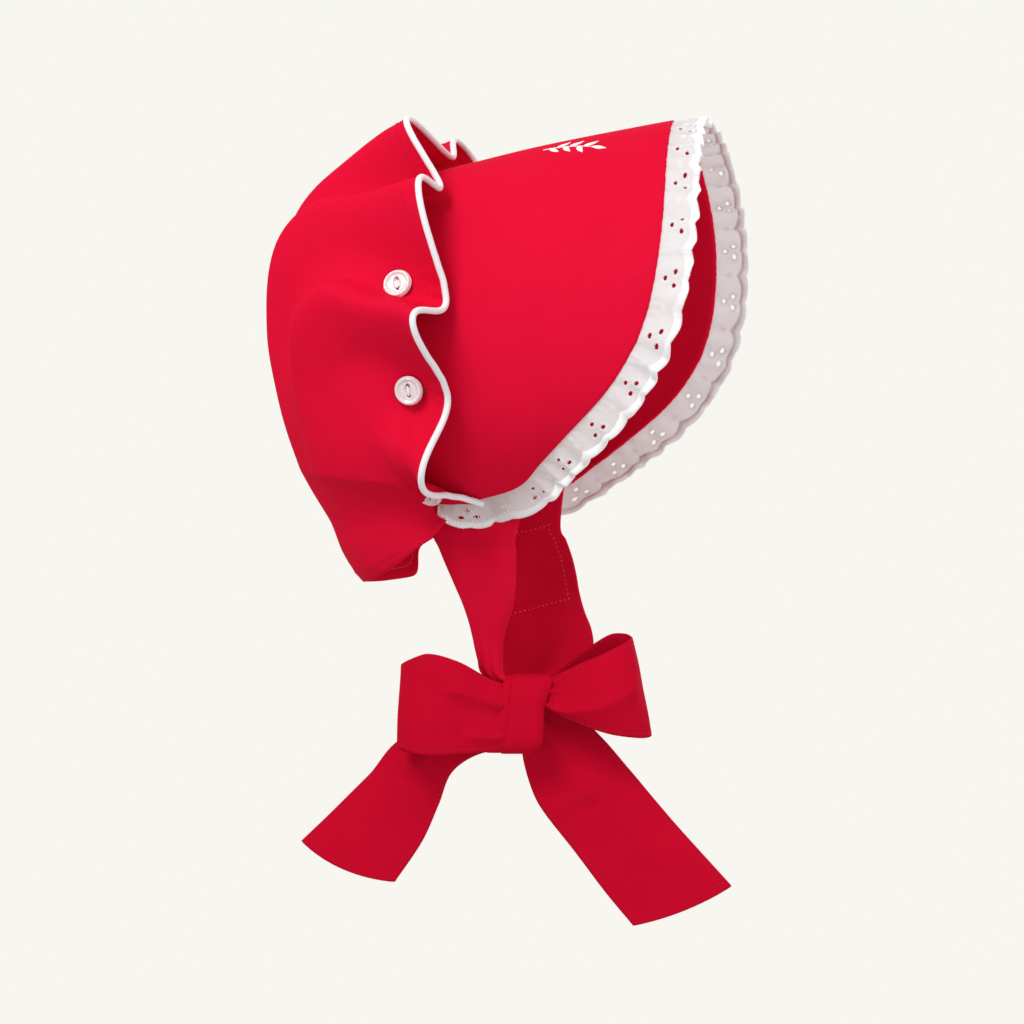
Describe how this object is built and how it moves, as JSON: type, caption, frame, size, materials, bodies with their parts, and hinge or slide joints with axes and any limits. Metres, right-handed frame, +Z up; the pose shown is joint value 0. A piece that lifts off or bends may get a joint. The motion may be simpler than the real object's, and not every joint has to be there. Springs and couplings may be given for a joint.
{
  "type": "bonnet",
  "caption": "Sun bonnet: stiff curved brim edged in gathered eyelet lace, soft crown with a deep piped frill buttoned down behind it, and wide ties knotted in a bow.",
  "frame": {"origin": "where the head bears on the inside of the brim's top, on the middle plane", "axes": "+Z up, the face opening looks toward -Y, the wearer's right side is toward -X"},
  "size_m": [0.2368, 0.24, 0.4291],
  "materials": {
    "red_cotton": "matt cotton",
    "white_cotton": "matt cotton",
    "pearl": "polished"
  },
  "bodies": {
    "root": {"brim": "red_cotton", "crown": "red_cotton", "crown_piping": "white_cotton", "lace_edging": "white_cotton", "button_0": "pearl", "button_1_right": "pearl", "button_1_left": "pearl", "button_2_right": "pearl", "button_2_left": "pearl", "button_3_right": "pearl", "button_3_left": "pearl", "button_4_right": "pearl", "button_4_left": "pearl", "tie_right": "red_cotton", "tie_left": "red_cotton", "bow_knot": "red_cotton", "bow_loop_left": "red_cotton", "bow_loop_right": "red_cotton", "tail_left": "red_cotton", "tail_right": "red_cotton"}
  },
  "joints": []
}
